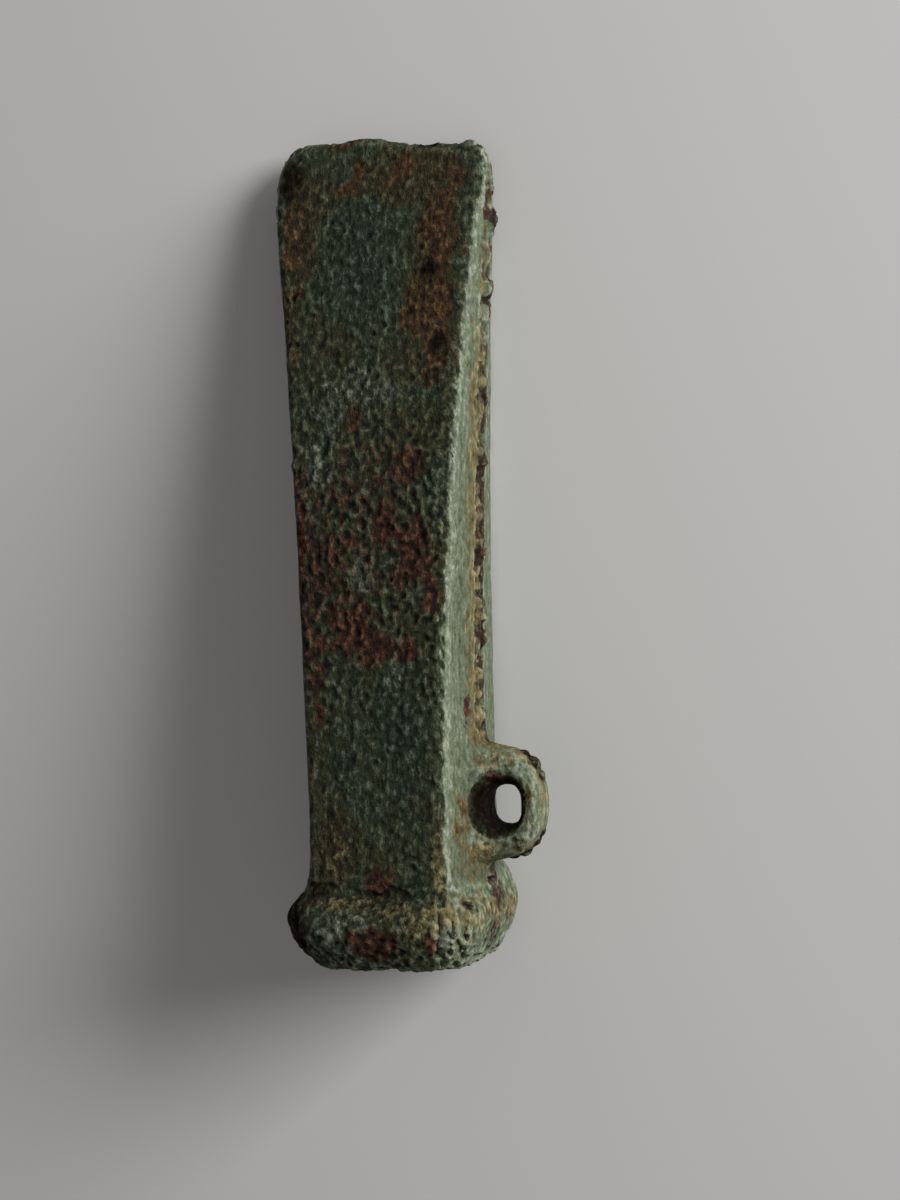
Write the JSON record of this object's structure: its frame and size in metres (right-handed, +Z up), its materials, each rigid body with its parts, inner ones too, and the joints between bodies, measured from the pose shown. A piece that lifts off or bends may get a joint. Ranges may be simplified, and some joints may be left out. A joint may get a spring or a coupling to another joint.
{
  "type": "socketed axe head",
  "caption": "Square-socketed bronze axe head with a moulded collar, a side lashing loop, mould seams and a blunt flared edge, lying on one broad face.",
  "frame": {"origin": "middle of the bounding box, at the surface the axe head lies on", "axes": "+Y from the socket mouth towards the cutting edge, +Z up from the back face it lies on to the front face, +X towards the side loop"},
  "size_m": [0.042, 0.128, 0.0316],
  "materials": {
    "patinated_bronze": "corroded bronze: matt dark green patina with rust-brown and ochre stains, pale sea-green on the worn corners"
  },
  "bodies": {
    "root": {"axe_head": "patinated_bronze"}
  },
  "joints": []
}
